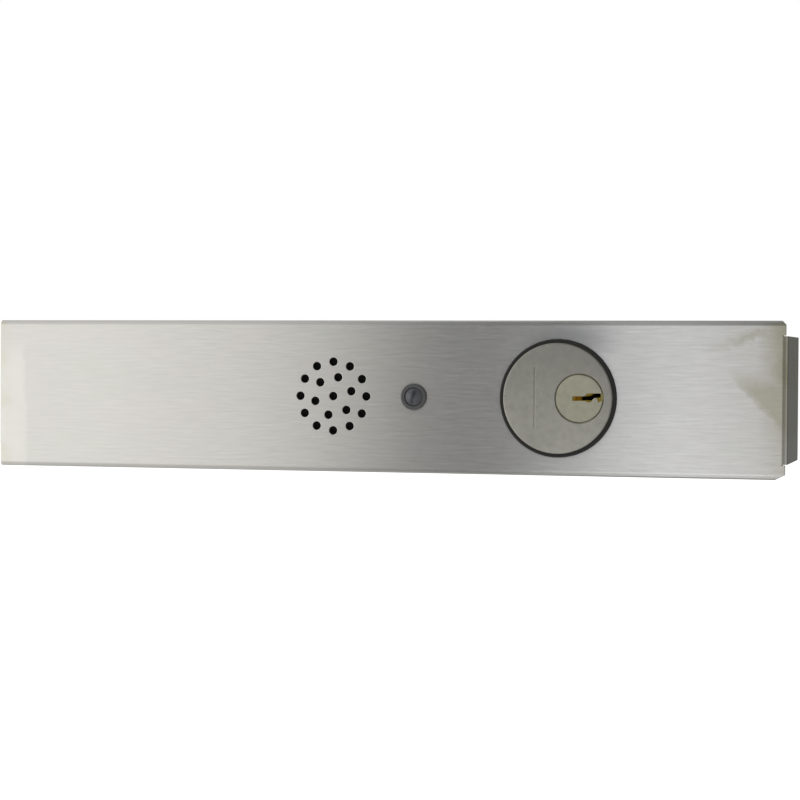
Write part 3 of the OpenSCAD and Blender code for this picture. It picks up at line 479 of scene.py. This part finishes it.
def make_world():
    """A studio seen only in reflections and as light; the camera itself sees plain white."""
    world = bpy.data.worlds.new("studio")
    bpy.context.scene.world = world
    world.use_nodes = True
    t = world.node_tree
    t.nodes.clear()
    out = put(t, "ShaderNodeOutputWorld")

    def merge(f, a, b):
        return put(t, "ShaderNodeMix", {0: f, 6: a, 7: b}, data_type="RGBA").outputs[2]

    def between(value, low, high, a, b):
        return merge(put(t, "ShaderNodeMapRange", {0: value, 1: low, 2: high}).outputs[0], a, b)

    d = put(t, "ShaderNodeSeparateXYZ", {0: put(t, "ShaderNodeTexCoord").outputs["Generated"]}).outputs
    # tall cards stand on both sides, so the brightness ahead of the face follows x at every height
    yz = put(t, "ShaderNodeCombineXYZ", {0: 0.0, 1: d[1], 2: d[2]}).outputs[0]
    reach = put(t, "ShaderNodeVectorMath", {0: yz}, operation="LENGTH").outputs[1]
    ahead = put(t, "ShaderNodeMapRange", {0: d[1], 1: 0.0, 2: 0.3, 3: 1.0, 4: -1.0}).outputs[0]
    depth = put(t, "ShaderNodeMath", {0: reach, 1: ahead}, operation="MULTIPLY").outputs[0]
    angle = put(t, "ShaderNodeMath", {0: d[0], 1: depth}, operation="ARCTAN2").outputs[0]
    turn = put(t, "ShaderNodeMapRange", {0: angle, 1: -math.pi, 2: math.pi}).outputs[0]
    rings = []
    for column in (1, 2):
        ramp = put(t, "ShaderNodeValToRGB", {0: turn})
        els = ramp.color_ramp.elements
        for i, row in enumerate(ROOM):
            e = els[i] if i < 2 else els.new(1.0)
            e.position = (row[0] + 180) / 360
            e.color = (*(row[column] * c for c in row[3]), 1)
        rings.append(ramp.outputs[0])
    above, below = rings
    wall = between(d[2], -0.20, 0.18, below, above)
    room = between(d[2], 0.22, 0.50, wall, merge(OVERHEAD_WALL, OVERHEAD, wall))
    room = between(d[2], -0.60, -0.24, merge(UNDERFOOT_WALL, UNDERFOOT, wall), room)
    light = put(t, "ShaderNodeBackground", {"Color": room, "Strength": 1.0})
    plain = put(t, "ShaderNodeBackground", {"Color": (1, 1, 1, 1), "Strength": 1.0})
    ray = put(t, "ShaderNodeLightPath").outputs["Is Camera Ray"]
    both = put(t, "ShaderNodeMixShader", {0: ray, 1: light.outputs[0], 2: plain.outputs[0]})
    t.links.new(both.outputs[0], out.inputs[0])


def area(name, place, aim, size, power):
    """A soft rectangular lamp at place that faces aim and doesn't show in reflections."""
    data = bpy.data.lights.new(name, "AREA")
    data.shape = "RECTANGLE"
    data.size, data.size_y = size
    data.energy = power
    o = bpy.data.objects.new(name, data)
    bpy.context.scene.collection.objects.link(o)
    o.location = place
    o.rotation_euler = (Vector(aim) - Vector(place)).to_track_quat("-Z", "Y").to_euler()
    o.visible_glossy = False


make_world()
mid = (cad_lo + cad_hi) / 2
area("top_soft", (-0.1, -0.35, 0.75), mid, (0.9, 0.5), 3.0)
area("back_soft", (-0.35, 0.70, 0.40), mid, (0.9, 0.6), 5.0)

# ---- floor ----

FLOOR_SIZE, FLOOR_DROP = 6.0, 0.12
bpy.ops.mesh.primitive_plane_add(size=FLOOR_SIZE, location=(0, 0, cad_lo.z - FLOOR_DROP))
floor = bpy.context.object
floor.name = "floor"
fm = Mat("floor_paper")
paper = fm.grain(30, 4, 0.5)
pale = fm.mix(paper, (0.92, 0.92, 0.915), (0.96, 0.96, 0.955))
floor.data.materials.append(fm.skin(Base_Color=pale, Roughness=0.8, Normal=fm.bump(paper, 0.1, 0.0005),
                                    Emission_Color=(1, 1, 1, 1), Emission_Strength=0.85))
floor.visible_glossy = False

# ---- camera ----

YAW, PITCH, ROLL = math.radians(15.29), math.radians(1.01), math.radians(0.33)
EYE = Vector((0.17573, -0.650, 0.01028))
FOCAL_PX, FRAME_PX, SENSOR = 2189.2, 800, 36.0
camera_data = bpy.data.cameras.new("camera")
camera_data.sensor_width = SENSOR
camera_data.lens = FOCAL_PX / FRAME_PX * SENSOR
camera_data.clip_start = 0.01
camera = bpy.data.objects.new("camera", camera_data)
bpy.context.scene.collection.objects.link(camera)
forward = Vector((-math.sin(YAW) * math.cos(PITCH), math.cos(YAW) * math.cos(PITCH), -math.sin(PITCH)))
right = forward.cross(Vector((0, 0, 1))).normalized()
upward = right.cross(forward)
level_right = right * math.cos(ROLL) + upward * math.sin(ROLL)
level_up = -right * math.sin(ROLL) + upward * math.cos(ROLL)
turn = Matrix((level_right, level_up, -forward)).transposed()
camera.matrix_world = Matrix.Translation(EYE) @ turn.to_4x4()
bpy.context.scene.camera = camera
bpy.context.scene.view_settings.view_transform = "Standard"
